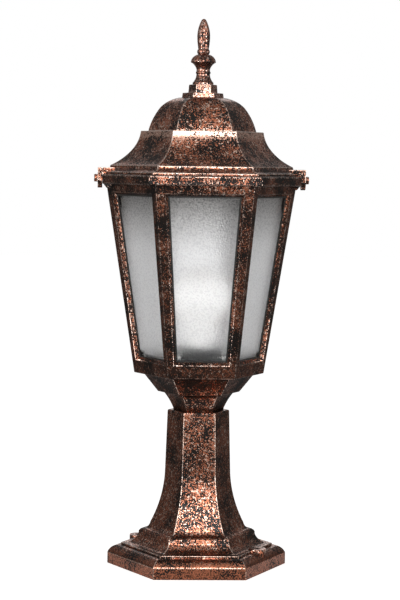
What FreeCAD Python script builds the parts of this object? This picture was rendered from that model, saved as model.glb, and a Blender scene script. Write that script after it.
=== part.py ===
import FreeCAD
import Part
import Sketcher
import os
import re
from math import atan2, sqrt

# Hexagonal pedestal garden lantern, cast aluminium, millimetres, +Z up.
# The origin is the centre of the flange's underside. A flat side faces -Y and two corners lie on the X axis.
# A half width runs from the axis to a flat side; a height is that of one member in the stack of members.

SIZES = {
    # Flange and moulded foot of the pedestal, from the ground up
    "flange_half": 78.0,
    "flange_edge": 11.5,
    "flange_height": 19.0,
    "flange_crown": 11.5,
    "flange_wall": 5.0,
    "step_half": 66.2,
    "step_height": 2.3,
    "cavetto_half": 63.0,
    "cavetto_height": 9.7,
    "cavetto_radius": 13.4,
    "band_half": 51.0,
    "band_height": 2.0,
    "ogee_half": 44.6,
    "ogee_height": 3.4,
    "ogee_radius": 6.0,
    "cove_height": 5.9,
    "cove_radius": 9.0,
    "foot_wall": 4.5,
    # Column
    "column_foot_half": 40.9,
    "flare_height": 53.7,
    "flare_radius": 136.0,
    "column_waist_half": 28.6,
    "shaft_height": 59.0,
    "column_top_half": 27.0,
    "column_edge": 1.5,
    "column_wall": 3.6,
    "column_plate": 5.0,
    # Fixing bosses on two opposite sides of the flange
    "bolt_circle": 136.0,
    "bolt_turn": 150.0,
    "boss_radius": 8.5,
    "boss_height": 22.5,
    "bolt_hole_radius": 3.25,
    # Neck and cup of the lantern body
    "neck_half": 21.6,
    "neck_height": 16.8,
    "neck_radius": 60.0,
    "neck_top_half": 29.9,
    "cup_step": 1.5,
    "cup_foot_half": 35.6,
    "cup_height": 17.2,
    "cup_top_half": 47.6,
    "cup_wall": 3.6,
    "body_floor": 5.0,
    # Cage and rim of the lantern body
    "cage_step": 1.5,
    "cage_foot_half": 56.3,
    "cage_height": 188.0,
    "cage_top_half": 82.0,
    "cage_wall": 4.0,
    "cage_ledge": 3.0,
    "stile_foot": 6.3,
    "stile_top": 8.8,
    "lower_rail": 13.2,
    "upper_rail": 8.2,
    "window_bevel": 2.8,
    "rim_half": 93.1,
    "rim_height": 9.5,
    "rim_edge": 1.0,
    # Panes, gaskets and the clips that hold them
    "pane_thickness": 3.0,
    "pane_gap": 2.2,
    "pane_overlap": 4.0,
    "gasket_thickness": 1.0,
    "gasket_lip": 1.2,
    "clip_height": 14.0,
    "clip_width": 16.0,
    "clip_thickness": 1.0,
    "clip_inset": 12.0,
    "clip_screw_radius": 1.5,
    "clip_screw_head_radius": 2.75,
    "clip_screw_head_height": 2.0,
    "clip_screw_grip": 3.0,
    # Roof
    "roof_foot_half": 86.6,
    "roof_foot_edge": 2.6,
    "apron_height": 2.5,
    "lip_half": 79.1,
    "lip_height": 3.9,
    "skirt_height": 16.5,
    "skirt_radius": 52.7,
    "skirt_half": 59.75,
    "throat_height": 17.8,
    "throat_radius": 36.3,
    "throat_half": 53.0,
    "dome_half": 46.7,
    "dome_height": 23.6,
    "dome_radius": 65.5,
    "haunch_half": 36.5,
    "crown_height": 9.8,
    "crown_radius": 27.6,
    "crown_half": 19.2,
    "roof_wall": 3.0,
    # Ears of the roof and their screws
    "ear_reach": 98.8,
    "ear_thickness": 4.5,
    "ear_width": 16.0,
    "ear_rise": 4.1,
    "ear_drop": 13.5,
    "ear_clearance": 0.3,
    "ear_root": 12.0,
    "ear_boss_drop": 4.0,
    "roof_screw_drop": 3.8,
    "roof_screw_radius": 2.0,
    "roof_screw_length": 13.0,
    "roof_screw_head_radius": 3.8,
    "roof_screw_head_height": 3.6,
    "roof_screw_slot": 1.0,
    "screw_clearance": 0.1,
    # Finial
    "finial_plate_half": 18.1,
    "finial_plate_top_half": 17.5,
    "finial_plate_height": 4.6,
    "finial_collar_half": 12.7,
    "finial_collar_top_half": 12.1,
    "finial_collar_height": 8.3,
    "bell_radius": 10.4,
    "bell_edge": 2.0,
    "bell_height": 8.4,
    "bell_sweep": 12.0,
    "stalk_radius": 6.7,
    "bead_height": 2.8,
    "bead_sweep": 1.8,
    "cap_gap": 1.6,
    "cap_radius": 12.5,
    "cap_flare": 7.0,
    "cap_flare_sweep": 10.0,
    "cap_height": 8.0,
    "cap_sweep": 8.5,
    "spike_foot_radius": 5.2,
    "pearl_height": 5.2,
    "pearl_sweep": 3.6,
    "spike_radius": 6.4,
    "spike_swell": 11.8,
    "spike_swell_sweep": 80.0,
    "spike_height": 17.2,
    "spike_sweep": 35.0,
    "spike_tip_radius": 2.0,
    "finial_bolt_radius": 3.0,
    "finial_bolt_length": 24.0,
    "finial_bolt_head_radius": 5.8,
    "finial_bolt_head_height": 4.0,
    "finial_washer_radius": 9.0,
    "finial_washer_thickness": 1.6,
    # Threaded stem that clamps the lantern to the column
    "stem_radius": 5.0,
    "stem_bore_radius": 3.9,
    "stem_drop": 12.0,
    "stem_hole_clearance": 0.25,
    "stem_washer_radius": 10.0,
    "stem_washer_thickness": 1.5,
    "stem_nut_radius": 8.1,
    "stem_nut_height": 4.0,
    # Lampholder
    "holder_lift": 2.0,
    "holder_boss_radius": 8.5,
    "holder_boss_height": 7.0,
    "holder_bell_height": 6.0,
    "holder_radius": 20.5,
    "holder_wall": 2.0,
    "holder_collar_height": 10.0,
    "holder_stem_grip": 10.0,
    "insert_thickness": 6.0,
    "insert_clearance": 0.3,
    "contact_radius": 4.0,
    "contact_height": 2.2,
    "shell_radius": 14.2,
    "shell_wall": 0.6,
    "shell_height": 24.0,
    "sleeve_radius": 21.5,
    "sleeve_height": 28.0,
    "sleeve_bore_clearance": 0.3,
    # Bulb
    "bulb_cap_radius": 13.2,
    "bulb_cap_height": 24.0,
    "bulb_nub_radius": 4.5,
    "bulb_nub_height": 1.5,
    "bulb_taper": 4.5,
    "bulb_neck_radius": 13.9,
    "bulb_neck_height": 37.0,
    "bulb_neck_sweep": 70.0,
    "bulb_radius": 30.0,
    "bulb_shoulder_radius": 27.2,
    # Terminals inside the column
    "bracket_thickness": 1.5,
    "bracket_width": 18.0,
    "bracket_setback": 12.0,
    "bracket_front": 9.0,
    "bracket_drop": 52.0,
    "block_depth": 15.5,
    "block_height": 18.0,
    "block_lift": 6.0,
    "block_entry_depth": 5.0,
    "lead_radius": 1.2,
    "lead_spacing": 4.2,
    "lead_clearance": 0.2,
    "block_screw_radius": 1.5,
    "block_screw_head_radius": 2.75,
    "block_screw_head_height": 2.0,
    "earth_screw_radius": 2.0,
    "earth_screw_head_radius": 3.8,
    "earth_screw_head_height": 2.6,
    "earth_screw_lift": 3.5,
}

X_AXIS = FreeCAD.Vector(1, 0, 0)
Y_AXIS = FreeCAD.Vector(0, 1, 0)
Z_AXIS = FreeCAD.Vector(0, 0, 1)
ORIGIN = FreeCAD.Vector(0, 0, 0)
UPRIGHT = FreeCAD.Rotation(X_AXIS, 90)
SIDE_TURN = 60
SLAB_TURNS = (30, 90, 150)
SIDES = ("front", "front_right", "back_right", "back", "back_left", "front_left")
CORNER = "cos(30 deg)"
FACE = "tan(30 deg)"
ANTICLOCKWISE = 1
CLOCKWISE = -1

# Heights of the members above the ground
STEP_Z = "flange_height"
CAVETTO_Z = f"({STEP_Z} + step_height)"
BAND_Z = f"({CAVETTO_Z} + cavetto_height)"
OGEE_Z = f"({BAND_Z} + band_height)"
COVE_Z = f"({OGEE_Z} + ogee_height)"
FLARE_Z = f"({COVE_Z} + cove_height)"
SHAFT_Z = f"({FLARE_Z} + flare_height)"
COLUMN_EDGE_Z = f"({SHAFT_Z} + shaft_height)"
COLUMN_TOP_Z = f"({COLUMN_EDGE_Z} + column_edge)"
CUP_STEP_Z = f"({COLUMN_TOP_Z} + neck_height)"
CUP_Z = f"({CUP_STEP_Z} + cup_step)"
CAGE_STEP_Z = f"({CUP_Z} + cup_height)"
CAGE_Z = f"({CAGE_STEP_Z} + cage_step)"
RIM_Z = f"({CAGE_Z} + cage_height)"
RIM_TOP_Z = f"({RIM_Z} + rim_height)"
APRON_Z = f"({RIM_TOP_Z} + roof_foot_edge)"
LIP_Z = f"({APRON_Z} + apron_height)"
SKIRT_Z = f"({LIP_Z} + lip_height)"
THROAT_Z = f"({SKIRT_Z} + skirt_height)"
DOME_Z = f"({THROAT_Z} + throat_height)"
CROWN_Z = f"({DOME_Z} + dome_height)"
ROOF_TOP_Z = f"({CROWN_Z} + crown_height)"
FLOOR_Z = f"({COLUMN_TOP_Z} + body_floor)"
PLATE_Z = f"({COLUMN_TOP_Z} - column_plate)"
LEDGE_Z = f"({CAGE_Z} + cage_ledge)"

# Lean of the cage's sides
LEAN = "((cage_top_half - cage_foot_half) / cage_height)"
LEAN_ANGLE = f"atan({LEAN})"
LEAN_COS = f"cos({LEAN_ANGLE})"
LEAN_SIN = f"sin({LEAN_ANGLE})"

doc = FreeCAD.newDocument("garden_lantern")
sheet = doc.addObject("Spreadsheet::Sheet", "Sizes")
for row, (alias, size) in enumerate(SIZES.items(), start=1):
    sheet.set(f"A{row}", alias)
    sheet.set(f"B{row}", str(size))
    sheet.setAlias(f"B{row}", alias)
doc.recompute()
nodes = []


def cells(text):
    """Turn the names of sizes in a formula into references to the sheet's cells."""
    return re.sub(r"[a-z_]+", lambda word: f"Sizes.{word[0]}" if word[0] in SIZES else word[0], text)


def number(text):
    return float(sheet.evalExpression(cells(text)))


def cage_half(height):
    """Half width of the cage's outside at a height."""
    return f"(cage_foot_half + ({height} - {CAGE_Z}) * {LEAN})"


def bind(thing, **formulas):
    for name, formula in formulas.items():
        thing.setExpression(name.replace("_dot_", "."), cells(formula))
    return thing


def arc_edge(start, end, radius, turn):
    """Arc shorter than a half circle from start to end."""
    chord = end - start
    left = FreeCAD.Vector(-chord.y, chord.x, 0).normalize()
    centre = (start + end) * 0.5 + left * (turn * sqrt(radius ** 2 - chord.Length ** 2 / 4))
    first, last = (start, end) if turn == ANTICLOCKWISE else (end, start)
    angles = [atan2(point.y - centre.y, point.x - centre.x) for point in (first, last)]
    return Part.ArcOfCircle(Part.Circle(centre, Z_AXIS, radius), *angles)


def place_corner(sketch, edge, end, corner):
    """Tie a corner of an outline to the formulas of its two coordinates."""
    for formula, axis, kind in ((corner[0], -2, "DistanceX"), (corner[1], -1, "DistanceY")):
        if formula == "0":
            sketch.addConstraint(Sketcher.Constraint("PointOnObject", edge, end, axis))
        else:
            row = sketch.addConstraint(Sketcher.Constraint(kind, -1, 1, edge, end, number(formula)))
            sketch.setExpression(f"Constraints[{row}]", cells(formula))


def draw_outline(sketch, corners, mirrored=False):
    """Draw a closed outline through corners (x, y) or (x, y, radius, turn), where an arc follows the corner.

    A mirrored outline is given by its right half, from the bottom up.
    """
    points = [FreeCAD.Vector(number(corner[0]), number(corner[1]), 0) for corner in corners]
    bends = [corner[2:] for corner in corners]
    count = len(points)
    if mirrored:
        points += [FreeCAD.Vector(-point.x, point.y, 0) for point in reversed(points)]
        bends = bends[:-1] + [()] + bends[-2::-1] + [()]
    first = sketch.GeometryCount
    ends = []
    for start, end, bend in zip(points, points[1:] + points[:1], bends):
        if bend:
            sketch.addGeometry(arc_edge(start, end, number(bend[0]), bend[1]))
        else:
            sketch.addGeometry(Part.LineSegment(start, end))
        ends.append((2, 1) if bend and bend[1] == CLOCKWISE else (1, 2))
    for index in range(len(points)):
        following = (index + 1) % len(points)
        join = (first + index, ends[index][1], first + following, ends[following][0])
        sketch.addConstraint(Sketcher.Constraint("Coincident", *join))
    for index, corner in enumerate(corners):
        place_corner(sketch, first + index, ends[index][0], corner)
        if bends[index]:
            row = sketch.addConstraint(Sketcher.Constraint("Radius", first + index, number(bends[index][0])))
            sketch.setExpression(f"Constraints[{row}]", cells(bends[index][0]))
        if mirrored:
            twin = 2 * count - 1 - index
            pair = (first + index, ends[index][0], first + twin, ends[twin][0])
            sketch.addConstraint(Sketcher.Constraint("Symmetric", *pair, -2))
            if bends[index]:
                sketch.addConstraint(Sketcher.Constraint("Equal", first + index, first + twin - 1))
    return sketch


def upright_sketch(name, corners, mirrored=False):
    sketch = doc.addObject("Sketcher::SketchObject", name)
    sketch.Placement = FreeCAD.Placement(ORIGIN, UPRIGHT)
    return draw_outline(sketch, corners, mirrored)


def extrude(name, sketch, length, both_ways=False):
    solid = doc.addObject("Part::Extrusion", name)
    solid.Base = sketch
    solid.DirMode = "Normal"
    solid.Solid = True
    solid.Symmetric = both_ways
    return bind(solid, LengthFwd=length)


def turn_about_axis(thing, degrees):
    thing.Placement = FreeCAD.Placement(ORIGIN, FreeCAD.Rotation(Z_AXIS, degrees))
    return thing


def hexagonal(name, side):
    """Six-sided solid whose flat sides follow one outline: the common part of three crossed slabs."""
    sketch = upright_sketch(f"{name}_outline", side, mirrored=True)
    widest = max((corner[0] for corner in side), key=number)
    slabs = [
        turn_about_axis(extrude(f"{name}_slab_{turn}", sketch, f"4 * ({widest})", both_ways=True), turn)
        for turn in SLAB_TURNS
    ]
    solid = doc.addObject("Part::MultiCommon", name)
    solid.Shapes = slabs
    return solid


def turned(name, corners):
    """Body of revolution about the Z axis."""
    body = doc.addObject("PartDesign::Body", name)
    sketch = body.newObject("Sketcher::SketchObject", f"{name}_outline")
    plane = next(item for item in body.Origin.OriginFeatures if item.Role == "XZ_Plane")
    sketch.AttachmentSupport = [(plane, "")]
    sketch.MapMode = "FlatFace"
    draw_outline(sketch, corners)
    spin = body.newObject("PartDesign::Revolution", f"{name}_spin")
    spin.Profile = sketch
    spin.ReferenceAxis = (sketch, ["V_Axis"])
    spin.Angle = 360
    return body


def ring(name, inner, outer, bottom, height):
    top = f"({bottom}) + {height}"
    return turned(name, [(inner, bottom), (outer, bottom), (outer, top), (inner, top)])


def cylinder(name, radius, height, x="0", y="0", z="0"):
    solid = doc.addObject("Part::Cylinder", name)
    bind(solid, Placement_dot_Base_dot_x=x, Placement_dot_Base_dot_y=y, Placement_dot_Base_dot_z=z)
    return bind(solid, Radius=radius, Height=height)


def block(name, length, width, height, x, y, z):
    solid = doc.addObject("Part::Box", name)
    bind(solid, Placement_dot_Base_dot_x=x, Placement_dot_Base_dot_y=y, Placement_dot_Base_dot_z=z)
    return bind(solid, Length=length, Width=width, Height=height)


def six_sided(name, radius, height, z):
    solid = doc.addObject("Part::Prism", name)
    solid.Polygon = 6
    bind(solid, Placement_dot_Base_dot_z=z)
    return bind(solid, Circumradius=radius, Height=height)


def gather(kind, name, things):
    result = doc.addObject(kind, name)
    if kind == "Part::Compound":
        result.Links = things
    else:
        result.Shapes = things
    return result


def fuse(name, *things):
    return gather("Part::MultiFuse", name, list(things))


def cut(name, base, *tools):
    tool = tools[0] if len(tools) == 1 else fuse(f"{name}_tools", *tools)
    result = doc.addObject("Part::Cut", name)
    result.Base = base
    result.Tool = tool
    return result


def common(name, *things):
    return gather("Part::MultiCommon", name, list(things))


def copies(name, model, placements):
    """Group of separate copies of one solid."""
    doc.recompute()
    solids = []
    for placement in placements:
        shape = model.Shape.copy()
        shape.Placement = placement.multiply(shape.Placement)
        solids.extend(shape.Solids)
    group = doc.addObject("Part::Feature", name)
    group.Shape = Part.makeCompound(solids)
    return group


def node(label, thing):
    thing.Label = label
    nodes.append(thing)
    return thing


def about_axis(turns):
    return [FreeCAD.Placement(ORIGIN, FreeCAD.Rotation(Z_AXIS, turn)) for turn in turns]


def make_pedestal():
    outside = hexagonal("pedestal_outside", [
        ("flange_half", "0"),
        ("flange_half", "flange_edge", "flange_crown", ANTICLOCKWISE),
        ("step_half", STEP_Z),
        ("step_half", CAVETTO_Z),
        ("cavetto_half", CAVETTO_Z, "cavetto_radius", CLOCKWISE),
        ("band_half", BAND_Z),
        ("band_half", OGEE_Z, "ogee_radius", ANTICLOCKWISE),
        ("ogee_half", COVE_Z, "cove_radius", CLOCKWISE),
        ("column_foot_half", FLARE_Z, "flare_radius", CLOCKWISE),
        ("column_waist_half", SHAFT_Z),
        ("column_top_half", COLUMN_EDGE_Z, "column_edge", ANTICLOCKWISE),
        ("column_top_half - column_edge", COLUMN_TOP_Z),
    ])
    hollow = hexagonal("pedestal_hollow", [
        ("flange_half - flange_wall", "0"),
        ("flange_half - flange_wall", "flange_edge - foot_wall / 3"),
        ("step_half - 1.3 * foot_wall", f"{STEP_Z} - foot_wall"),
        ("band_half - foot_wall", BAND_Z),
        ("column_foot_half - column_wall", FLARE_Z, "flare_radius + column_wall", CLOCKWISE),
        ("column_waist_half - column_wall", SHAFT_Z),
        ("column_top_half - column_wall", PLATE_Z),
    ])
    bosses = []
    holes = []
    for side, sign in (("left", ""), ("right", "-")):
        place = {
            "x": f"{sign}bolt_circle / 2 * cos(bolt_turn * 1 deg)",
            "y": f"{sign}bolt_circle / 2 * sin(bolt_turn * 1 deg)",
        }
        bosses.append(cylinder(f"boss_{side}", "boss_radius", "boss_height", **place))
        holes.append(cylinder(f"bolt_hole_{side}", "bolt_hole_radius", "boss_height", **place))
    stem_hole = cylinder(
        "pedestal_stem_hole", "stem_radius + stem_hole_clearance", "column_plate", z=PLATE_Z
    )
    shell = cut("pedestal_shell", outside, hollow)
    node("pedestal", cut("pedestal_casting", fuse("pedestal_body", shell, *bosses), stem_hole, *holes))


def side_frame(depth):
    """Frame on the front side of the cage, at a depth behind its face, with its normal pointing inwards."""
    foot = FreeCAD.Vector(0, -number("cage_foot_half"), number(CAGE_Z))
    turn = FreeCAD.Rotation(Z_AXIS, 180).multiply(FreeCAD.Rotation(X_AXIS, 90 - number(LEAN_ANGLE)))
    inwards = turn.multVec(Z_AXIS)
    return FreeCAD.Placement(foot + inwards * number(depth), turn)


def side_sketch(name, depth, *outlines):
    sketch = doc.addObject("Sketcher::SketchObject", name)
    sketch.Placement = side_frame(depth)
    for outline in outlines:
        draw_outline(sketch, outline, mirrored=True)
    return sketch


# Lengths along the leaning face of the cage, from its foot
FACE_LENGTH = f"(cage_height / {LEAN_COS})"
WALL_DEPTH = f"(cage_wall * {LEAN_COS})"
GASKET_DEPTH = f"({WALL_DEPTH} + gasket_thickness)"
PANE_DEPTH = f"({GASKET_DEPTH} + pane_thickness)"
WINDOW_TOP = f"({FACE_LENGTH} - upper_rail)"
PANE_FOOT = f"((cage_ledge - {WALL_DEPTH} * {LEAN_SIN}) / {LEAN_COS})"
PANE_TOP = f"({WINDOW_TOP} + pane_overlap)"


def face_half(along, depth="0"):
    """Half width of a side, at a length along its face and a depth behind it."""
    return f"((cage_foot_half + {along} * {LEAN_SIN} - {depth} * {LEAN_COS}) * {FACE})"


def window_outline(inset):
    low = f"(lower_rail + {inset})"
    high = f"({WINDOW_TOP} - {inset})"
    return [
        (f"{face_half(low)} - stile_foot - {inset}", low),
        (f"{face_half(high)} - stile_top - {inset}", high),
    ]


def pane_outline():
    return [
        (f"{face_half(PANE_FOOT, PANE_DEPTH)} - pane_gap", PANE_FOOT),
        (f"{face_half(PANE_TOP, PANE_DEPTH)} - pane_gap", PANE_TOP),
    ]


def make_panes():
    panes = side_sketch("pane_outline", GASKET_DEPTH, pane_outline())
    gaskets = side_sketch(
        "gasket_outline", WALL_DEPTH, pane_outline(), window_outline("(window_bevel + gasket_lip)")
    )
    for index, side in enumerate(SIDES):
        turn = index * SIDE_TURN
        pane = extrude(f"pane_{side}", panes, "pane_thickness")
        gasket = extrude(f"gasket_{side}", gaskets, "gasket_thickness")
        node(f"glass_pane_{side}", turn_about_axis(pane, turn))
        node(f"pane_gasket_{side}", turn_about_axis(gasket, turn))


# The clips lie on the inside of the panes, at the cage's corners
CLIP_BACK = f"(cage_wall + (gasket_thickness + pane_thickness) / {LEAN_COS})"
CLIP_LEAN_ANGLE = f"atan({LEAN} / {CORNER})"
CLIP_HEIGHTS = {
    "lower": f"({LEDGE_Z} + clip_inset)",
    "upper": f"({CAGE_Z} + {PANE_TOP} * {LEAN_COS} - clip_inset)",
}
CLIP_SEAT = f"(clip_screw_head_radius * {FACE})"


def clip_screw_frame(level, offset):
    """Frame at a corner of the cage, with its Z axis pointing outwards along a clip's screw."""
    height = CLIP_HEIGHTS[level]
    reach = f"(({cage_half(height)} - {CLIP_BACK} - clip_thickness) / {CORNER})"
    turn = FreeCAD.Rotation(Y_AXIS, 90 + number(CLIP_LEAN_ANGLE))
    corner = FreeCAD.Vector(number(reach), 0, number(height))
    return FreeCAD.Placement(corner + turn.multVec(Z_AXIS) * number(offset), turn)


def corner_copies(name, model, offset):
    """Copies of a screw or a drill at both heights of all six corners."""
    turns = about_axis(range(0, 360, SIDE_TURN))
    frames = [clip_screw_frame(level, offset) for level in CLIP_HEIGHTS]
    return copies(name, model, [turn.multiply(frame) for turn in turns for frame in frames])


def make_clips():
    low = f"{LEDGE_Z}"
    high = f"{RIM_Z}"
    layers = []
    for name, depth in (("clip_outside", CLIP_BACK), ("clip_inside", f"({CLIP_BACK} + clip_thickness)")):
        layers.append(hexagonal(name, [
            (f"{cage_half(low)} - {depth}", low),
            (f"{cage_half(high)} - {depth}", high),
        ]))
    layer = cut("clip_layer", *layers)
    patches = [
        block(f"clip_patch_{level}", "cage_top_half", "clip_width", "clip_height",
              "cage_foot_half / 2", "-clip_width / 2", f"{height} - clip_height / 2")
        for level, height in CLIP_HEIGHTS.items()
    ]
    drill = cylinder("clip_drill", "clip_screw_radius + screw_clearance", "2 * clip_width")
    drills = corner_copies("clip_drills", drill, "-clip_width")
    pair = cut("clip_pair", common("clip_blanks", layer, fuse("clip_patches", *patches)), drills)
    node("pane_clips", copies("clip_group", pair, about_axis(range(0, 360, SIDE_TURN))))
    shank = f"({CLIP_SEAT} + (clip_thickness + {CLIP_BACK} - cage_wall) / {CORNER})"
    screw = turned("clip_screw", [
        ("0", "-clip_screw_head_height"),
        ("clip_screw_head_radius", "-clip_screw_head_height"),
        ("clip_screw_head_radius", "0"),
        ("clip_screw_radius", "0"),
        ("clip_screw_radius", f"{shank} + clip_screw_grip"),
        ("0", f"{shank} + clip_screw_grip"),
    ])
    node("pane_clip_screws", corner_copies("clip_screw_group", screw, f"-{CLIP_SEAT}"))
    hole = cylinder("clip_hole", "clip_screw_radius + screw_clearance", f"{shank} + clip_screw_grip")
    return corner_copies("clip_holes", hole, f"-{CLIP_SEAT}")


# The rim's two corners on the X axis are cut flat, and the roof's ears pass outside them
RIM_FLAT = "(ear_reach - ear_clearance)"
ROOF_SCREW_Z = f"({RIM_TOP_Z} - roof_screw_drop)"
ROOF_SCREW_SEAT = "(ear_reach + ear_thickness)"
OPPOSITE_TURNS = (0, 180)


def across_axis(name, radius, length, x, z):
    """Cylinder that lies along the X axis."""
    solid = cylinder(name, radius, length, x=x, z=z)
    bind(solid, Placement_dot_Rotation_dot_Angle="90")
    solid.setExpression("Placement.Rotation.Axis.x", "0")
    solid.setExpression("Placement.Rotation.Axis.y", "1")
    solid.setExpression("Placement.Rotation.Axis.z", "0")
    return solid


def make_lantern_body(clip_holes):
    outside = hexagonal("body_outside", [
        ("neck_half", COLUMN_TOP_Z, "neck_radius", CLOCKWISE),
        ("neck_top_half", CUP_STEP_Z),
        ("cup_foot_half", CUP_Z),
        ("cup_top_half", CAGE_STEP_Z),
        ("cage_foot_half", CAGE_Z),
        ("cage_top_half", RIM_Z),
        ("rim_half - rim_edge", RIM_Z),
        ("rim_half", f"{RIM_Z} + rim_edge"),
        ("rim_half", f"{RIM_TOP_Z} - rim_edge"),
        ("rim_half - rim_edge", RIM_TOP_Z),
    ])
    hollow = hexagonal("body_hollow", [
        ("neck_half - cup_wall", FLOOR_Z),
        ("neck_top_half - cup_wall", CUP_Z),
        ("cup_foot_half - cup_wall", f"{CUP_Z} + cup_wall / 2"),
        ("cup_top_half - cup_wall", CAGE_STEP_Z),
        ("cup_top_half - cup_wall", LEDGE_Z),
        (f"{cage_half(LEDGE_Z)} - cage_wall", LEDGE_Z),
        (f"{cage_half(RIM_TOP_Z)} - cage_wall", RIM_TOP_Z),
    ])
    corner_boss = extrude("ear_boss", upright_sketch("ear_boss_outline", [
        ("cage_top_half", f"{RIM_Z} - ear_boss_drop"),
        (f"{RIM_FLAT} - ear_boss_drop", f"{RIM_Z} - ear_boss_drop"),
        (RIM_FLAT, f"{RIM_Z} + rim_edge"),
        ("cage_top_half", f"{RIM_Z} + rim_edge"),
    ]), "ear_width", both_ways=True)
    bosses = copies("ear_bosses", corner_boss, about_axis(OPPOSITE_TURNS))
    trim = block("rim_trim", "rim_half", "2 * rim_half", "2 * rim_height",
                 RIM_FLAT, "-rim_half", f"{RIM_Z} - rim_height / 2")
    drill = across_axis("rim_drill", "roof_screw_radius + screw_clearance", "roof_screw_length",
                        f"{ROOF_SCREW_SEAT} - roof_screw_length", ROOF_SCREW_Z)
    ends = copies("rim_ends", fuse("rim_end", trim, drill), about_axis(OPPOSITE_TURNS))
    opening = extrude("window", side_sketch("window_outline", "0", window_outline("0")), f"2 * {WALL_DEPTH}")
    bind(opening, TaperAngle=f"-atan(window_bevel / {WALL_DEPTH})")
    windows = copies("windows", opening, about_axis(range(0, 360, SIDE_TURN)))
    stem_hole = cylinder("body_stem_hole", "stem_radius + stem_hole_clearance", "body_floor", z=COLUMN_TOP_Z)
    blank = fuse("body_blank", outside, bosses)
    shell = cut("body_shell", blank, hollow)
    pierced = cut("body_pierced", shell, windows)
    node("lantern_body", cut("body_casting", cut("body_trimmed", pierced, ends), stem_hole, clip_holes))


def make_roof():
    outside = hexagonal("roof_outside", [
        ("roof_foot_half", RIM_TOP_Z),
        ("roof_foot_half", APRON_Z),
        ("lip_half", LIP_Z),
        ("lip_half", SKIRT_Z, "skirt_radius", CLOCKWISE),
        ("skirt_half", THROAT_Z, "throat_radius", CLOCKWISE),
        ("throat_half", DOME_Z),
        ("dome_half", DOME_Z, "dome_radius", ANTICLOCKWISE),
        ("haunch_half", CROWN_Z, "crown_radius", ANTICLOCKWISE),
        ("crown_half", ROOF_TOP_Z),
    ])
    hollow = hexagonal("roof_hollow", [
        ("lip_half - roof_wall", RIM_TOP_Z),
        ("lip_half - roof_wall", f"{SKIRT_Z} - roof_wall / 2", "skirt_radius + roof_wall", CLOCKWISE),
        ("skirt_half - 0.7 * roof_wall", f"{THROAT_Z} - 0.7 * roof_wall", "throat_radius + roof_wall",
         CLOCKWISE),
        ("throat_half - roof_wall", f"{DOME_Z} - roof_wall"),
        ("dome_half - roof_wall", f"{DOME_Z} - roof_wall", "dome_radius - roof_wall", ANTICLOCKWISE),
        ("haunch_half - 0.8 * roof_wall", f"{CROWN_Z} - 0.6 * roof_wall", "crown_radius - roof_wall",
         ANTICLOCKWISE),
        ("crown_half - roof_wall / 2", f"{ROOF_TOP_Z} - roof_wall"),
    ])
    tip_z = f"({RIM_TOP_Z} - ear_drop + ear_width / 2)"
    ear_top_z = f"({APRON_Z} + ear_rise)"
    tab = block("ear_tab", "ear_root + ear_thickness", "ear_width", f"{ear_top_z} - {RIM_TOP_Z}",
                "ear_reach - ear_root", "-ear_width / 2", RIM_TOP_Z)
    plate = block("ear_plate", "ear_thickness", "ear_width", f"{ear_top_z} - {tip_z}",
                  "ear_reach", "-ear_width / 2", tip_z)
    tip = across_axis("ear_tip", "ear_width / 2", "ear_thickness", "ear_reach", tip_z)
    drill = across_axis("ear_drill", "roof_screw_radius + 2 * screw_clearance", "ear_thickness",
                        "ear_reach", ROOF_SCREW_Z)
    ear = cut("ear", fuse("ear_blank", tab, plate, tip), drill)
    ears = copies("ears", ear, about_axis(OPPOSITE_TURNS))
    bolt_hole = cylinder("roof_bolt_hole", "finial_bolt_radius + 2 * screw_clearance", "2 * roof_wall",
                         z=f"{ROOF_TOP_Z} - 2 * roof_wall")
    node("roof", cut("roof_casting", fuse("roof_body", outside, ears), hollow, bolt_hole))


def make_roof_screws():
    screw = turned("roof_screw", [
        ("0", "-roof_screw_length"),
        ("roof_screw_radius", "-roof_screw_length"),
        ("roof_screw_radius", "0"),
        ("roof_screw_head_radius", "0"),
        ("roof_screw_head_radius", "roof_screw_head_height"),
        ("0", "roof_screw_head_height"),
    ])
    slot = block("roof_screw_slot_cut", "2 * roof_screw_head_radius", "roof_screw_slot",
                 "roof_screw_head_height / 3",
                 "-roof_screw_head_radius", "-roof_screw_slot / 2", "2 * roof_screw_head_height / 3")
    slotted = cut("roof_screw_slotted", screw, slot)
    seat = FreeCAD.Vector(number(ROOF_SCREW_SEAT), 0, number(ROOF_SCREW_Z))
    lying = FreeCAD.Placement(seat, FreeCAD.Rotation(Y_AXIS, 90))
    places = [turn.multiply(lying) for turn in about_axis(OPPOSITE_TURNS)]
    node("roof_screws", copies("roof_screw_group", slotted, places))


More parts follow.
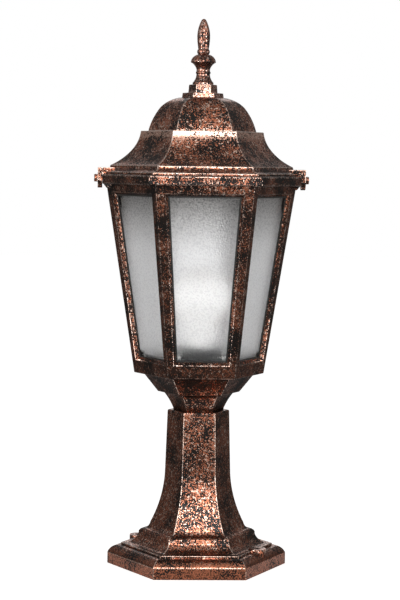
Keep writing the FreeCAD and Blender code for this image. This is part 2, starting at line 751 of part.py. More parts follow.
def make_finial():
    collar_z = f"({ROOF_TOP_Z} + finial_plate_height)"
    bell_z = f"({collar_z} + finial_collar_height)"
    stalk_z = f"({bell_z} + bell_edge + bell_height)"
    cap_z = f"({stalk_z} + bead_height + cap_gap)"
    pearl_z = f"({cap_z} + cap_flare + cap_height)"
    spike_z = f"({pearl_z} + pearl_height)"
    swell_z = f"({spike_z} + spike_swell)"
    tip_z = f"({swell_z} + spike_height)"
    foot = hexagonal("finial_foot", [
        ("finial_plate_half", ROOF_TOP_Z),
        ("finial_plate_top_half", collar_z),
        ("finial_collar_half", collar_z),
        ("finial_collar_top_half", bell_z),
    ])
    spindle = turned("finial_spindle", [
        ("0", collar_z),
        ("bell_radius", collar_z),
        ("bell_radius", f"{bell_z} + bell_edge", "bell_sweep", CLOCKWISE),
        ("stalk_radius", stalk_z, "bead_sweep", ANTICLOCKWISE),
        ("stalk_radius", f"{stalk_z} + bead_height"),
        ("stalk_radius", cap_z, "cap_flare_sweep", CLOCKWISE),
        ("cap_radius", f"{cap_z} + cap_flare", "cap_sweep", ANTICLOCKWISE),
        ("spike_foot_radius", pearl_z, "pearl_sweep", ANTICLOCKWISE),
        ("spike_foot_radius", spike_z, "spike_swell_sweep", ANTICLOCKWISE),
        ("spike_radius", swell_z, "spike_sweep", ANTICLOCKWISE),
        ("spike_tip_radius", tip_z),
        ("0", f"{tip_z} + spike_tip_radius / 2"),
    ])
    washer_z = f"({ROOF_TOP_Z} - roof_wall - finial_washer_thickness)"
    bolt_top = f"({washer_z} + finial_bolt_length)"
    bolt_fit = "(finial_bolt_radius + screw_clearance)"
    tapped = cylinder("finial_thread", bolt_fit, f"{bolt_top} - {ROOF_TOP_Z} + bell_edge", z=ROOF_TOP_Z)
    node("finial", cut("finial_casting", fuse("finial_body", foot, spindle), tapped))
    node("finial_washer", ring("washer_under_finial", bolt_fit, "finial_washer_radius", washer_z,
                               "finial_washer_thickness"))
    shank = cylinder("finial_bolt_shank", "finial_bolt_radius", "finial_bolt_length", z=washer_z)
    head = six_sided("finial_bolt_head", "finial_bolt_head_radius", "finial_bolt_head_height",
                     f"{washer_z} - finial_bolt_head_height")
    node("finial_bolt", fuse("bolt_under_finial", shank, head))


# Stack on the stem, from the column's plate down and from the body's floor up
LOWER_WASHER_Z = f"({PLATE_Z} - stem_washer_thickness)"
BRACKET_Z = f"({LOWER_WASHER_Z} - bracket_thickness)"
LOWER_NUT_Z = f"({BRACKET_Z} - stem_nut_height)"
UPPER_NUT_Z = f"({FLOOR_Z} + stem_washer_thickness)"
HOLDER_Z = f"({UPPER_NUT_Z} + stem_nut_height + holder_lift)"
BELL_Z = f"({HOLDER_Z} + holder_boss_height)"
COLLAR_Z = f"({BELL_Z} + holder_bell_height)"
SLEEVE_Z = f"({COLLAR_Z} + holder_collar_height)"
INSERT_Z = f"({COLLAR_Z} + holder_wall / 2)"
CONTACT_Z = f"({INSERT_Z} + insert_thickness)"
BULB_Z = f"({CONTACT_Z} + contact_height)"
STEM_FIT = "(stem_radius + screw_clearance)"


def make_stem():
    stem_foot = f"({LOWER_NUT_Z} - stem_drop / 2)"
    stem_length = f"({HOLDER_Z} + holder_stem_grip - {stem_foot})"
    node("stem_tube", ring("stem", "stem_bore_radius", "stem_radius", stem_foot, stem_length))
    for place, washer_z, nut_z in (("upper", FLOOR_Z, UPPER_NUT_Z), ("lower", LOWER_WASHER_Z, LOWER_NUT_Z)):
        washer = ring(f"washer_{place}", STEM_FIT, "stem_washer_radius", washer_z, "stem_washer_thickness")
        blank = six_sided(f"nut_blank_{place}", "stem_nut_radius", "stem_nut_height", nut_z)
        bore = cylinder(f"nut_bore_{place}", STEM_FIT, "stem_nut_height", z=nut_z)
        node(f"stem_{place}_washer", washer)
        node(f"stem_{place}_nut", cut(f"nut_{place}", blank, bore))


def make_lampholder():
    room = "(holder_radius - holder_wall)"
    node("lampholder_cap", turned("holder_cap", [
        (STEM_FIT, HOLDER_Z),
        ("holder_boss_radius", HOLDER_Z),
        ("holder_boss_radius", BELL_Z),
        ("holder_radius", COLLAR_Z),
        ("holder_radius", SLEEVE_Z),
        (room, SLEEVE_Z),
        (room, INSERT_Z),
        ("holder_boss_radius", INSERT_Z),
        ("holder_boss_radius", f"{HOLDER_Z} + holder_stem_grip"),
        (STEM_FIT, f"{HOLDER_Z} + holder_stem_grip"),
    ]))
    node("lampholder_insert", turned("holder_insert", [
        ("0", INSERT_Z),
        (f"{room} - insert_clearance", INSERT_Z),
        (f"{room} - insert_clearance", CONTACT_Z),
        ("0", CONTACT_Z),
    ]))
    node("lampholder_contact", turned("holder_contact", [
        ("0", CONTACT_Z),
        ("contact_radius", CONTACT_Z),
        ("contact_radius", f"{CONTACT_Z} + contact_height / 2"),
        ("contact_radius / 2", BULB_Z),
        ("0", BULB_Z),
    ]))
    node("lampholder_shell", ring("holder_shell", "shell_radius - shell_wall", "shell_radius", CONTACT_Z,
                                  "shell_height"))
    node("lampholder_sleeve", turned("holder_sleeve", [
        ("shell_radius + sleeve_bore_clearance", SLEEVE_Z),
        ("sleeve_radius", SLEEVE_Z),
        ("sleeve_radius", f"{SLEEVE_Z} + sleeve_height - holder_wall"),
        ("sleeve_radius - holder_wall", f"{SLEEVE_Z} + sleeve_height"),
        ("shell_radius + sleeve_bore_clearance", f"{SLEEVE_Z} + sleeve_height"),
    ]))


def make_bulb():
    taper_z = f"({BULB_Z} + bulb_nub_height)"
    cap_z = f"({taper_z} + bulb_taper)"
    neck_z = f"({cap_z} + bulb_cap_height)"
    shoulder_z = f"({neck_z} + bulb_neck_height)"
    node("bulb", turned("opal_bulb", [
        ("0", BULB_Z),
        ("bulb_nub_radius", BULB_Z),
        ("bulb_nub_radius", taper_z),
        ("bulb_cap_radius", cap_z),
        ("bulb_cap_radius", neck_z),
        ("bulb_neck_radius", neck_z, "bulb_neck_sweep", CLOCKWISE),
        ("bulb_shoulder_radius", shoulder_z, "bulb_radius", ANTICLOCKWISE),
        ("0", f"{shoulder_z} + sqrt(bulb_radius ^ 2 - bulb_shoulder_radius ^ 2) + bulb_radius"),
    ]))


def make_terminals():
    foot = f"({BRACKET_Z} + bracket_thickness - bracket_drop)"
    leg_y = "(bracket_setback - bracket_thickness)"
    block_z = f"({foot} + bracket_thickness + block_lift + 2 * earth_screw_head_radius)"
    entry_z = f"({block_z} + block_height - block_entry_depth)"
    screw_z = f"({block_z} + (block_height - block_entry_depth) / 2)"
    earth_z = f"({foot} + earth_screw_lift + earth_screw_head_radius)"
    front_y = f"({leg_y} - block_depth)"
    tab = block("bracket_tab", "bracket_width", "bracket_front + bracket_setback", "bracket_thickness",
                "-bracket_width / 2", "-bracket_front", BRACKET_Z)
    leg = block("bracket_leg", "bracket_width", "bracket_thickness", "bracket_drop",
                "-bracket_width / 2", leg_y, foot)
    stem_hole = cylinder("bracket_stem_hole", STEM_FIT, "bracket_thickness", z=BRACKET_Z)
    holes = [
        along_depth(f"bracket_{kind}_hole", f"{kind}_screw_radius + screw_clearance", "bracket_thickness",
                    leg_y, z)
        for kind, z in (("block", screw_z), ("earth", earth_z))
    ]
    node("terminal_bracket", cut("bracket", fuse("bracket_blank", tab, leg), stem_hole, *holes))
    blank = block("block_blank", "bracket_width", "block_depth", "block_height",
                  "-bracket_width / 2", front_y, block_z)
    passage = along_depth("block_passage", "block_screw_radius + 2 * screw_clearance", "block_depth",
                          front_y, screw_z)
    entries = []
    for lead, sign in (("live", "-"), ("neutral", "")):
        place = {"x": f"{sign}lead_spacing / 2", "z": entry_z}
        entries.append(cylinder(f"{lead}_entry", "lead_radius + lead_clearance", "block_entry_depth", **place))
        node(f"{lead}_lead", cylinder(f"lead_{lead}", "lead_radius", f"{INSERT_Z} - {entry_z}", **place))
    node("terminal_block", cut("block_body", blank, passage, *entries))
    node("terminal_block_screw", depth_screw("block_screw", "block", "block_depth + bracket_thickness",
                                             front_y, screw_z))
    node("earth_screw", depth_screw("earth_screw_body", "earth", "3 * bracket_thickness", leg_y, earth_z))


def along_depth(name, radius, length, y, z):
    """Cylinder that lies along the Y axis."""
    solid = cylinder(name, radius, length, y=y, z=z)
    bind(solid, Placement_dot_Rotation_dot_Angle="270")
    solid.setExpression("Placement.Rotation.Axis.x", "1")
    solid.setExpression("Placement.Rotation.Axis.y", "0")
    solid.setExpression("Placement.Rotation.Axis.z", "0")
    return solid


def depth_screw(name, kind, length, y, z):
    """Screw along the Y axis whose head rests on the face at y."""
    shank = along_depth(f"{name}_shank", f"{kind}_screw_radius", length, y, z)
    head = along_depth(f"{name}_head", f"{kind}_screw_head_radius", f"{kind}_screw_head_height",
                       f"{y} - {kind}_screw_head_height", z)
    return fuse(name, shank, head)


def check_and_write():
    doc.recompute()
    failed = [thing.Name for thing in doc.Objects if {"Invalid", "Error"} & set(thing.State)]
    failed += [thing.Label for thing in nodes if thing.Shape.isNull() or not thing.Shape.isValid()]
    if failed:
        raise RuntimeError(f"not built: {failed}")
    os.makedirs("parts", exist_ok=True)
    for thing in nodes:
        thing.Shape.exportStep(os.path.join("parts", f"{thing.Label}.step"))


make_pedestal()
make_lantern_body(make_clips())
make_panes()
make_roof()
make_roof_screws()
make_finial()
make_stem()
make_lampholder()
make_bulb()
make_terminals()
check_and_write()
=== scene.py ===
import math

import bmesh
import bpy
from mathutils import Matrix, Vector, noise


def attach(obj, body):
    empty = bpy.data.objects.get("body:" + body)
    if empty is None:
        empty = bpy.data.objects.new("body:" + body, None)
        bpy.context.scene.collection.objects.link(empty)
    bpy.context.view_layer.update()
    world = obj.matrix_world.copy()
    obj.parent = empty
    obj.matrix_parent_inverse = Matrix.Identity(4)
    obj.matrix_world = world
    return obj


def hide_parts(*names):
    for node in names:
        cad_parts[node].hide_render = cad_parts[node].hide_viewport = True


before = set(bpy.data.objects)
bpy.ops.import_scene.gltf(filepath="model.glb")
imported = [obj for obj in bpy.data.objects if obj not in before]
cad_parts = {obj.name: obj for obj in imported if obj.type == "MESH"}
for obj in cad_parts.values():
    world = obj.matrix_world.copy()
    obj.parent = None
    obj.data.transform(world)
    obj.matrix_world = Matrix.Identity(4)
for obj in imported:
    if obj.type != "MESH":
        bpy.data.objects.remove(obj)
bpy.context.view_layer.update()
scene = bpy.context.scene
MM = 0.001
SIDES = ("front", "front_right", "back_right", "back", "back_left", "front_left")


# Node graphs

# Places of a mix node's two inputs and of its output, for each kind of data
MIX_SOCKETS = {"FLOAT": (2, 3, 0), "RGBA": (6, 7, 2)}


class Graph:
    """Shorthand for a material's or world's node tree."""

    def __init__(self, owner):
        owner.use_nodes = True
        self.tree = owner.node_tree
        self.tree.nodes.clear()

    def add(self, kind, inputs=(), **settings):
        made = self.tree.nodes.new(kind)
        for name, value in settings.items():
            setattr(made, name, value)
        for name, value in dict(inputs).items():
            self.feed(made, name, value)
        return made

    def feed(self, made, name, value):
        socket = made.inputs[name]
        if isinstance(value, bpy.types.NodeSocket):
            self.tree.links.new(value, socket)
        else:
            socket.default_value = value

    def math(self, operation, first, second):
        made = self.add("ShaderNodeMath", operation=operation)
        self.feed(made, 0, first)
        self.feed(made, 1, second)
        return made.outputs[0]

    def weighted_sum(self, *terms):
        """Sum of (value, weight) pairs."""
        total = 0.0
        for value, weight in terms:
            made = self.add("ShaderNodeMath", operation="MULTIPLY_ADD")
            for index, part in enumerate((value, weight, total)):
                self.feed(made, index, part)
            total = made.outputs[0]
        return total

    def place(self):
        return self.add("ShaderNodeTexCoord").outputs["Object"]

    def height(self, place):
        return self.add("ShaderNodeSeparateXYZ", {"Vector": place}).outputs["Z"]

    def noise(self, vector, scale, detail=2.0, roughness=0.5):
        made = self.add("ShaderNodeTexNoise", {
            "Vector": vector, "Scale": scale, "Detail": detail, "Roughness": roughness,
        })
        return made.outputs["Fac"]

    def step(self, value, start, full):
        """Smooth rise from 0 at start to 1 at full, whichever of the two is higher."""
        made = self.add("ShaderNodeMapRange", {
            "Value": value, "From Min": start, "From Max": full, "To Min": 0.0, "To Max": 1.0,
        }, interpolation_type="SMOOTHSTEP", clamp=True)
        return made.outputs["Result"]

    def mix(self, data_type, factor, first, second):
        made = self.add("ShaderNodeMix", data_type=data_type)
        first_place, second_place, result = MIX_SOCKETS[data_type]
        self.feed(made, 0, factor)
        self.feed(made, first_place, first)
        self.feed(made, second_place, second)
        return made.outputs[result]

    def mix_colour(self, factor, first, second):
        return self.mix("RGBA", factor, first, second)

    def mix_value(self, factor, first, second):
        return self.mix("FLOAT", factor, first, second)

    def bump(self, height, strength, distance):
        made = self.add("ShaderNodeBump", {"Height": height, "Strength": strength, "Distance": distance})
        return made.outputs["Normal"]

    def seen_directly(self):
        """One for rays that show a backdrop: from the camera, off metal and through glass."""
        path = self.add("ShaderNodeLightPath").outputs
        seen = self.math("MAXIMUM", path["Is Camera Ray"], path["Is Glossy Ray"])
        return self.math("MAXIMUM", seen, path["Is Transmission Ray"])

    def surface(self, shader, target="ShaderNodeOutputMaterial"):
        out = self.add(target)
        self.feed(out, "Surface", shader.outputs[0])


# Materials

def colour(red, green, blue):
    return (red, green, blue, 1.0)


def grey(level):
    return colour(level, level, level)


# Noise scales, in grains to a metre
FINE_GRAIN = 740.0
BLOTCH_GRAIN = 240.0
PATCH_GRAIN = 44.0
TINT_GRAIN = 400.0
TARNISH_GRAIN = 900.0
GLASS_GRAIN = 600.0
GLASS_RIPPLE = 900.0
GLOSS_GRAIN = 900.0

# Heights where a zone of colour starts and where it is full
# Band round the top of the roof's skirt that carries a painted highlight
SHOULDER_HIGHLIGHT_RISE = (422 * MM, 431 * MM)
SHOULDER_HIGHLIGHT_FALL = (436 * MM, 434.6 * MM)
FOOT_ZONE = (20 * MM, 12 * MM)
# Painted shade in the glass, from where it starts to where it is full towards the roof
GLASS_SHADE = (308 * MM, 394 * MM)

# Parts of a noise's range where a colour starts and where it is full
PALE_RANGE = (0.48, 0.68)
TARNISH_RANGE = (0.54, 0.44)
COAT_RANGE = (0.35, 0.65)
CREST_RANGE = (0.42, 0.5)

# Cover where copper starts to show and where it is full, at no bias
COPPER_START = 0.905
COPPER_FULL = 0.92
# Paleness of the painted highlight at the top of the roof's skirt
SHOULDER_HIGHLIGHT_PALENESS = 0.55

BLACK_COAT = colour(0.006, 0.004, 0.003)
BROWN_COAT = colour(0.030, 0.012, 0.007)
TARNISH = colour(0.16, 0.06, 0.03)

# Deep and pale grains of each copper
CAST_COPPER = (colour(0.47, 0.16, 0.085), colour(0.86, 0.62, 0.5))
TURNED_COPPER = (colour(0.38, 0.16, 0.105), colour(0.74, 0.56, 0.48))
RUBBED_COPPER = (colour(0.64, 0.42, 0.33), colour(0.88, 0.75, 0.67))
# Edge copper for the cage: scuffing, and painted shade that keeps it darker than the rubbed edges
SCUFFED_SHADED_COPPER = (colour(0.58, 0.37, 0.29), colour(0.88, 0.75, 0.67))

# Roughness that the gloss grain adds or takes away
GLOSS_SPREAD = 0.08


def new_material(name):
    material = bpy.data.materials.new(name)
    return material, Graph(material)


def plain_material(name, base, roughness, metallic=0.0, **sockets):
    """Even colour with a fine grain in its gloss."""
    material, graph = new_material(name)
    grain = graph.noise(graph.place(), GLOSS_GRAIN)
    shader = graph.add("ShaderNodeBsdfPrincipled", {
        "Base Color": base,
        "Roughness": graph.mix_value(grain, roughness - GLOSS_SPREAD, roughness + GLOSS_SPREAD),
        "Metallic": metallic,
    })
    for socket, value in sockets.items():
        graph.feed(shader, socket.replace("_", " "), value)
    graph.surface(shader)
    return material


def copper_material(name, bias, deep, pale):
    """Black coating rubbed through to copper in fine grains, under a clear lacquer.

    A higher bias shows more copper. The flange is rubbed most. A band round the top of the roof's skirt
    is a painted highlight, with more copper and paler grains there.
    """
    material, graph = new_material(name)
    place = graph.place()
    height = graph.height(place)
    # Painted highlight: a band round the top of the roof's skirt shows more copper
    shoulder_highlight = graph.math("MULTIPLY", graph.step(height, *SHOULDER_HIGHLIGHT_RISE),
                          graph.step(height, *SHOULDER_HIGHLIGHT_FALL))
    foot = graph.step(height, *FOOT_ZONE)
    fine = graph.noise(place, FINE_GRAIN, roughness=0.6)
    blotch = graph.noise(place, BLOTCH_GRAIN)
    patch = graph.noise(place, PATCH_GRAIN)
    tint = graph.noise(place, TINT_GRAIN)
    cover = graph.weighted_sum((fine, 1.0), (blotch, 0.3), (patch, 0.45), (shoulder_highlight, 0.09), (foot, 0.08))
    copper = graph.step(cover, COPPER_START - bias, COPPER_FULL - bias)
    off_foot = graph.math("SUBTRACT", 1.0, foot)
    pale_grain = graph.math("MULTIPLY", graph.step(tint, *PALE_RANGE), off_foot)
    # Painted highlight: the grains in that band turn pale
    painted_highlight_top = graph.math("MULTIPLY", shoulder_highlight, SHOULDER_HIGHLIGHT_PALENESS)
    clean = graph.mix_colour(graph.math("MAXIMUM", pale_grain, painted_highlight_top), deep, pale)
    tarnish_grain = graph.step(graph.noise(place, TARNISH_GRAIN, detail=1.0), *TARNISH_RANGE)
    bright = graph.mix_colour(graph.math("MULTIPLY", foot, tarnish_grain), clean, TARNISH)
    dark = graph.mix_colour(graph.step(patch, *COAT_RANGE), BLACK_COAT, BROWN_COAT)
    shader = graph.add("ShaderNodeBsdfPrincipled", {
        "Base Color": graph.mix_colour(copper, dark, bright),
        "Metallic": copper,
        "Roughness": graph.mix_value(copper, 0.5, 0.22),
        "Specular IOR Level": 0.1,
        "Normal": graph.bump(fine, 0.15, 0.3 * MM),
        "Coat Weight": 0.2,
        "Coat Roughness": 0.12,
    })
    graph.surface(shader)
    return material


def glass_material(name):
    """Frosted glass with a grain, and painted shade that darkens its colour towards the roof."""
    material, graph = new_material(name)
    place = graph.place()
    # Painted shade: the hollows and crests darken with height towards the roof
    shade = graph.step(graph.height(place), *GLASS_SHADE)
    hollows = graph.mix_colour(shade, colour(0.8, 0.8, 0.81), colour(0.12, 0.115, 0.11))
    crests = graph.mix_colour(shade, grey(1.0), colour(0.5, 0.485, 0.475))
    grain = graph.step(graph.noise(place, GLASS_GRAIN, detail=1.0), *CREST_RANGE)
    shader = graph.add("ShaderNodeBsdfPrincipled", {
        "Base Color": graph.mix_colour(grain, hollows, crests),
        "Roughness": 0.3,
        "Transmission Weight": 1.0,
        "IOR": 1.45,
        "Specular IOR Level": 0.15,
        "Normal": graph.bump(graph.noise(place, GLASS_RIPPLE), 0.5, 0.2 * MM),
    })
    graph.surface(shader)
    return material


# Pieces

def finish_piece(piece, name):
    """Ride the one body, in the place of a CAD node."""
    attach(piece, "root")
    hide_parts(name)


HEXAGON_TURN = 60.0
ARRIS_REACH = 0.05 * MM
WORN_ANGLE = math.radians(18)
ROUNDING_ROOM = 2.1
LONG_EDGE = 8.0 * MM
WELD_DISTANCE = 0.004 * MM
FLAT_ANGLE = math.radians(0.6)
CASTING_SHARP_ANGLE = math.radians(32)


def on_arris(point):
    """Whether a point lies on one of the hexagon's corner planes."""
    turn = math.degrees(math.atan2(point.y, point.x)) % HEXAGON_TURN
    nearest = math.radians(min(turn, HEXAGON_TURN - turn))
    return math.hypot(point.x, point.y) * math.sin(nearest) < ARRIS_REACH


def worn(edge, width, shortest):
    """Whether an edge is an outer corner with room beside it for a rounding."""
    if not edge.is_manifold or edge.calc_face_angle_signed(0.0) < WORN_ANGLE:
        return False
    length = edge.calc_length()
    if length < shortest and not all(on_arris(vertex.co) for vertex in edge.verts):
        return False
    return all(face.calc_area() > ROUNDING_ROOM * width * length for face in edge.link_faces)


def dressed(name, faces, edges, width, shortest=LONG_EDGE):
    """Casting or screw with rounded, rubbed outer edges."""
    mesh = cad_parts[name].data.copy()
    piece = bpy.data.objects.new(f"{name}_finish", mesh)
    scene.collection.objects.link(piece)
    mesh.materials.clear()
    mesh.materials.append(faces)
    mesh.materials.append(edges)
    work = bmesh.new()
    work.from_mesh(mesh)
    for face in work.faces:
        face.material_index = 0
    bmesh.ops.remove_doubles(work, verts=work.verts, dist=WELD_DISTANCE)
    bmesh.ops.dissolve_limit(work, angle_limit=FLAT_ANGLE, verts=work.verts, edges=work.edges)
    bmesh.ops.recalc_face_normals(work, faces=work.faces)
    sharp = [edge for edge in work.edges if worn(edge, width, shortest)]
    bmesh.ops.bevel(work, geom=sharp, offset=width, offset_type="OFFSET", segments=3, profile=0.5,
                    affect="EDGES", clamp_overlap=False, material=1, loop_slide=True)
    work.to_mesh(mesh)
    work.free()
    mesh.shade_smooth()
    mesh.set_sharp_from_angle(angle=CASTING_SHARP_ANGLE)
    weighted = piece.modifiers.new("even_normals", "WEIGHTED_NORMAL")
    weighted.keep_sharp = True
    bpy.context.view_layer.objects.active = piece
    bpy.ops.object.modifier_apply(modifier=weighted.name)
    finish_piece(piece, name)


PEBBLE_SIZE = 1.7 * MM
PEBBLE_DEPTH = 0.4 * MM
PEBBLE_STEP = 0.52 * MM
PEBBLE_MARGIN = 2.0 * MM
SAME_CORNER = 0.1 * MM
PANE_SHARP_ANGLE = math.radians(60)


def pane_corners(name):
    """Outward normal of a pane, and the corners of its outer and inner faces.

    Each face's corners run low left, low right, high left, high right, seen from outside.
    """
    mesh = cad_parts[name].data
    corners = []
    for vertex in mesh.vertices:
        if all((vertex.co - other).length > SAME_CORNER for other in corners):
            corners.append(vertex.co.copy())
    centre = sum(corners, Vector()) / len(corners)
    normal = max(mesh.polygons, key=lambda polygon: polygon.area).normal.copy()
    if normal.dot(Vector((centre.x, centre.y, 0))) < 0:
        normal.negate()
    across = Vector((0, 0, 1)).cross(normal).normalized()
    by_depth = sorted(corners, key=lambda corner: -normal.dot(corner))
    faces = []
    for face in (by_depth[:4], by_depth[4:]):
        by_height = sorted(face, key=lambda corner: corner.z)
        low = sorted(by_height[:2], key=across.dot)
        high = sorted(by_height[2:], key=across.dot)
        faces.append((*low, *high))
    return normal, faces[0], faces[1]


def pebble(point):
    """Height from 0 to 1 of rounded pebbles that meet in creases."""
    distances = noise.voronoi(point / PEBBLE_SIZE)[0]
    crease = min(1.0, distances[1] - distances[0])
    return math.sqrt(crease * (2.0 - crease))


def pebbled_pane(name, material):
    """Pane whose outer face is pressed into small pebbles."""
    normal, outer, inner = pane_corners(name)
    low_left, low_right, high_left, high_right = outer
    height = (high_left - low_left).length
    columns = round((high_right - high_left).length / PEBBLE_STEP)
    rows = round(height / PEBBLE_STEP)
    work = bmesh.new()
    grid = []
    for row in range(rows + 1):
        up = row / rows
        left = low_left.lerp(high_left, up)
        right = low_right.lerp(high_right, up)
        line = []
        for column in range(columns + 1):
            over = column / columns
            point = left.lerp(right, over)
            edge = min(min(over, 1 - over) * (right - left).length, min(up, 1 - up) * height)
            fade = min(1.0, edge / PEBBLE_MARGIN)
            sunk = PEBBLE_DEPTH * fade * (1.0 - pebble(point))
            line.append(work.verts.new(point - normal * sunk))
        grid.append(line)
    for lower, upper in zip(grid, grid[1:]):
        for column in range(columns):
            work.faces.new((lower[column], lower[column + 1], upper[column + 1], upper[column]))
    back = [work.verts.new(corner) for corner in inner]
    rims = (
        (grid[0], back[0], back[1]),
        ([line[-1] for line in grid], back[1], back[3]),
        (grid[-1][::-1], back[3], back[2]),
        ([line[0] for line in grid[::-1]], back[2], back[0]),
    )
    for rim, start, end in rims:
        work.faces.new([*rim[::-1], start, end])
    work.faces.new((back[1], back[0], back[2], back[3]))
    bmesh.ops.recalc_face_normals(work, faces=work.faces)
    mesh = bpy.data.meshes.new(f"{name}_pebbled")
    work.to_mesh(mesh)
    work.free()
    mesh.shade_smooth()
    mesh.set_sharp_from_angle(angle=PANE_SHARP_ANGLE)
    mesh.materials.append(material)
    piece = bpy.data.objects.new(f"{name}_pebbled", mesh)
    scene.collection.objects.link(piece)
    finish_piece(piece, name)


def paint(material, *names):
    """Give CAD nodes a material and leave their shapes alone."""
    for name in names:
        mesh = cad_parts[name].data
        mesh.materials.clear()
        mesh.materials.append(material)
        for polygon in mesh.polygons:
            polygon.material_index = 0


copper = copper_material("antique_copper", 0.0, *CAST_COPPER)
# Painted shade: the cage's copy of the cast copper shows less copper, so the cage renders darker
shaded_cage_copper = copper_material("antique_copper_cage_shaded", -0.04, *CAST_COPPER)
turned = copper_material("antique_copper_turned", 0.02, *TURNED_COPPER)
rubbed = copper_material("antique_copper_edge", 0.12, *RUBBED_COPPER)
# Painted shade as well as scuffing: a darker copy of the rubbed edges, for the cage
scuffed_and_shaded = copper_material("antique_copper_scuffed", 0.04, *SCUFFED_SHADED_COPPER)
glass = glass_material("pebbled_glass")
rubber = plain_material("gasket_rubber", colour(0.02, 0.018, 0.016), 0.6)
steel = plain_material("zinc_steel", colour(0.55, 0.55, 0.53), 0.35, 1.0)
brass = plain_material("brass_contact", colour(0.72, 0.53, 0.25), 0.3, 1.0)
black_plastic = plain_material("holder_plastic", grey(0.012), 0.4)
ceramic = plain_material("holder_insert", colour(0.8, 0.78, 0.72), 0.35)
opal = plain_material("opal_bulb", colour(0.7, 0.7, 0.69), 0.35,
                      Emission_Color=colour(1.0, 0.99, 0.98), Emission_Strength=0.5)
terminal = plain_material("terminal_plastic", colour(0.75, 0.74, 0.68), 0.5)
brown = plain_material("lead_brown", colour(0.16, 0.06, 0.025), 0.5)
blue = plain_material("lead_blue", colour(0.02, 0.07, 0.3), 0.5)

dressed("pedestal", copper, rubbed, 0.7 * MM)
dressed("lantern_body", shaded_cage_copper, scuffed_and_shaded, 0.6 * MM)
dressed("roof", copper, rubbed, 0.7 * MM)
dressed("finial", turned, rubbed, 0.5 * MM, shortest=4.0 * MM)
dressed("roof_screws", copper, rubbed, 0.3 * MM, shortest=0.3 * MM)
for side in SIDES:
    pebbled_pane(f"glass_pane_{side}", glass)
    paint(rubber, f"pane_gasket_{side}")
paint(steel, "pane_clips", "pane_clip_screws", "stem_tube", "stem_upper_washer", "stem_upper_nut",
      "stem_lower_washer", "stem_lower_nut", "finial_bolt", "finial_washer", "terminal_bracket",
      "terminal_block_screw")
paint(brass, "lampholder_shell", "lampholder_contact", "earth_screw")
paint(black_plastic, "lampholder_cap", "lampholder_sleeve")
paint(ceramic, "lampholder_insert")
paint(opal, "bulb")
paint(terminal, "terminal_block")
paint(brown, "live_lead")
paint(blue, "neutral_lead")


# Stage, light and camera

AMBIENT = 0.42
FLOOR_SIZE = 12.0
FLOOR_WHITE = 0.8
FLOOR_LIFT = 0.68
LAMP_TARGET = Vector((0.0, 0.0, 0.27))

# Name, azimuth and elevation in degrees, distance, width and height in metres, power in watts
SOFTBOXES = (
    ("key", 0, 20.5, 2.0, 0.6, 0.62, 7.8),
    ("strip_front", 0, 0.4, 2.0, 0.6, 0.1, 0.9),
    ("strip_left", -48, 8, 1.7, 0.26, 1.0, 7.0),
    ("strip_right", 48, 8, 1.7, 0.26, 1.0, 7.0),
)

CARD_ROUGHNESS = 0.9
SIDE_CARD_TURN = 128
SIDE_CARD_DISTANCE = 1.3
SIDE_CARD_WIDTH = 1.9

CAMERA_LENS = 111.0
CAMERA_SENSOR = 36.0
CAMERA_REACH = 100.0
CAMERA_TARGET = Vector((0.0, 0.0, 266.6 * MM))
CAMERA_AZIMUTH = -2.54
CAMERA_ELEVATION = 4.24
CAMERA_DISTANCE = 1.85
CAMERA_ROLL = math.radians(0.81)


def rectangle(name, width, height):
    """Flat piece of the stage."""
    mesh = bpy.data.meshes.new(name)
    corners = [(x * width / 2, y * height / 2, 0) for x, y in ((-1, -1), (1, -1), (1, 1), (-1, 1))]
    mesh.from_pydata(corners, [], [(0, 1, 2, 3)])
    thing = bpy.data.objects.new(name, mesh)
    scene.collection.objects.link(thing)
    return thing


def add_floor():
    floor = rectangle("floor", FLOOR_SIZE, FLOOR_SIZE)
    material, graph = new_material("floor_white")
    shade = graph.add("ShaderNodeBsdfDiffuse", {"Color": grey(FLOOR_WHITE)})
    lift = graph.add("ShaderNodeEmission", {
        "Strength": graph.math("MULTIPLY", graph.seen_directly(), FLOOR_LIFT),
    })
    total = graph.add("ShaderNodeAddShader")
    graph.feed(total, 0, shade.outputs[0])
    graph.feed(total, 1, lift.outputs[0])
    graph.surface(total)
    floor.data.materials.append(material)


def add_world():
    world = bpy.data.worlds.new("studio")
    scene.world = world
    graph = Graph(world)
    background = graph.add("ShaderNodeBackground", {
        "Color": grey(1.0), "Strength": graph.mix_value(graph.seen_directly(), AMBIENT, 1.0),
    })
    graph.surface(background, "ShaderNodeOutputWorld")


def aim(thing, target, roll=0.0):
    direction = Vector(target) - thing.location
    turn = direction.to_track_quat("-Z", "Y").to_matrix().to_4x4() @ Matrix.Rotation(roll, 4, "Z")
    thing.rotation_euler = turn.to_euler()


def around(azimuth, elevation, distance, target):
    """Point at a distance from the target, with azimuth 0 in front of it."""
    across = math.radians(azimuth)
    up = math.radians(elevation)
    return Vector(target) + distance * Vector((
        math.sin(across) * math.cos(up), -math.cos(across) * math.cos(up), math.sin(up),
    ))


def add_softbox(name, azimuth, elevation, distance, width, height, power):
    lamp = bpy.data.lights.new(name, "AREA")
    lamp.shape = "RECTANGLE"
    lamp.size = width
    lamp.size_y = height
    lamp.energy = power
    thing = bpy.data.objects.new(name, lamp)
    scene.collection.objects.link(thing)
    thing.location = around(azimuth, elevation, distance, LAMP_TARGET)
    aim(thing, LAMP_TARGET)


def mirrored_only(card, material):
    """Show a card in reflections alone."""
    card.data.materials.append(material)
    card.visible_camera = False
    card.visible_diffuse = False
    card.visible_shadow = False
    card.visible_transmission = False


def add_card(name, centre, target, width, height, material):
    card = rectangle(name, width, height)
    card.location = centre
    aim(card, target)
    mirrored_only(card, material)


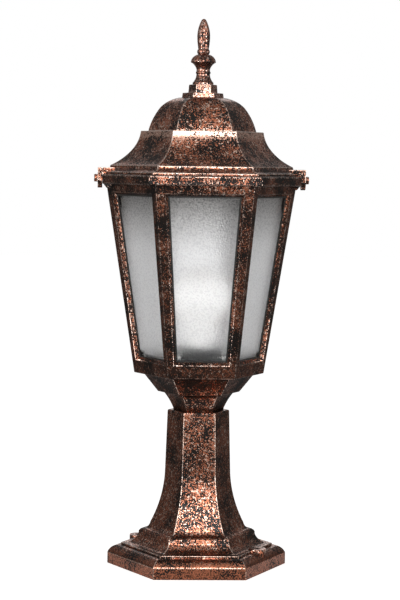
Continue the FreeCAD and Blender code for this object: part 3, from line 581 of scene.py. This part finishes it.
def add_floor_card(name, radius, height, material):
    """Round card just over the floor, under the object."""
    mesh = bpy.data.meshes.new(name)
    work = bmesh.new()
    bmesh.ops.create_circle(work, cap_ends=True, radius=radius, segments=64)
    work.to_mesh(mesh)
    work.free()
    card = bpy.data.objects.new(name, mesh)
    scene.collection.objects.link(card)
    card.location.z = height
    mirrored_only(card, material)


def add_side_card(name, azimuth, low, high, material):
    """Upright card that reaches from one height to another and faces the object."""
    centre = (0, 0, (low + high) / 2)
    place = around(azimuth, 0, SIDE_CARD_DISTANCE, centre)
    add_card(name, place, centre, SIDE_CARD_WIDTH, high - low, material)


def add_camera():
    camera = bpy.data.cameras.new("camera")
    camera.lens = CAMERA_LENS
    camera.sensor_width = CAMERA_SENSOR
    camera.clip_end = CAMERA_REACH
    thing = bpy.data.objects.new("camera", camera)
    scene.collection.objects.link(thing)
    thing.location = around(CAMERA_AZIMUTH, CAMERA_ELEVATION, CAMERA_DISTANCE, CAMERA_TARGET)
    aim(thing, CAMERA_TARGET, CAMERA_ROLL)
    scene.camera = thing


add_floor()
add_world()
for softbox in SOFTBOXES:
    add_softbox(*softbox)
dark_card = plain_material("card_dark", grey(0.18), CARD_ROUGHNESS)
dim_card = plain_material("card_dim", grey(0.37), CARD_ROUGHNESS)
soft_card = plain_material("card_soft", grey(0.7), CARD_ROUGHNESS)
foot_card = plain_material("card_foot", grey(0.85), CARD_ROUGHNESS,
                           Emission_Color=grey(1.0), Emission_Strength=0.15)
for side, azimuth in (("left", -SIDE_CARD_TURN), ("right", SIDE_CARD_TURN)):
    add_side_card(f"card_{side}_low", azimuth, 0.01, 0.45, dark_card)
    add_side_card(f"card_{side}_high", azimuth, 0.45, 1.8, dim_card)
add_card("card_above", centre=(0, 0.45, 1.35), target=(0, 0.45, 0), width=2.2, height=2.1,
         material=soft_card)
add_floor_card("card_below", radius=1.7, height=0.4 * MM, material=dark_card)
add_floor_card("card_foot", radius=0.2, height=0.8 * MM, material=foot_card)
add_camera()
scene.view_settings.view_transform = "Standard"
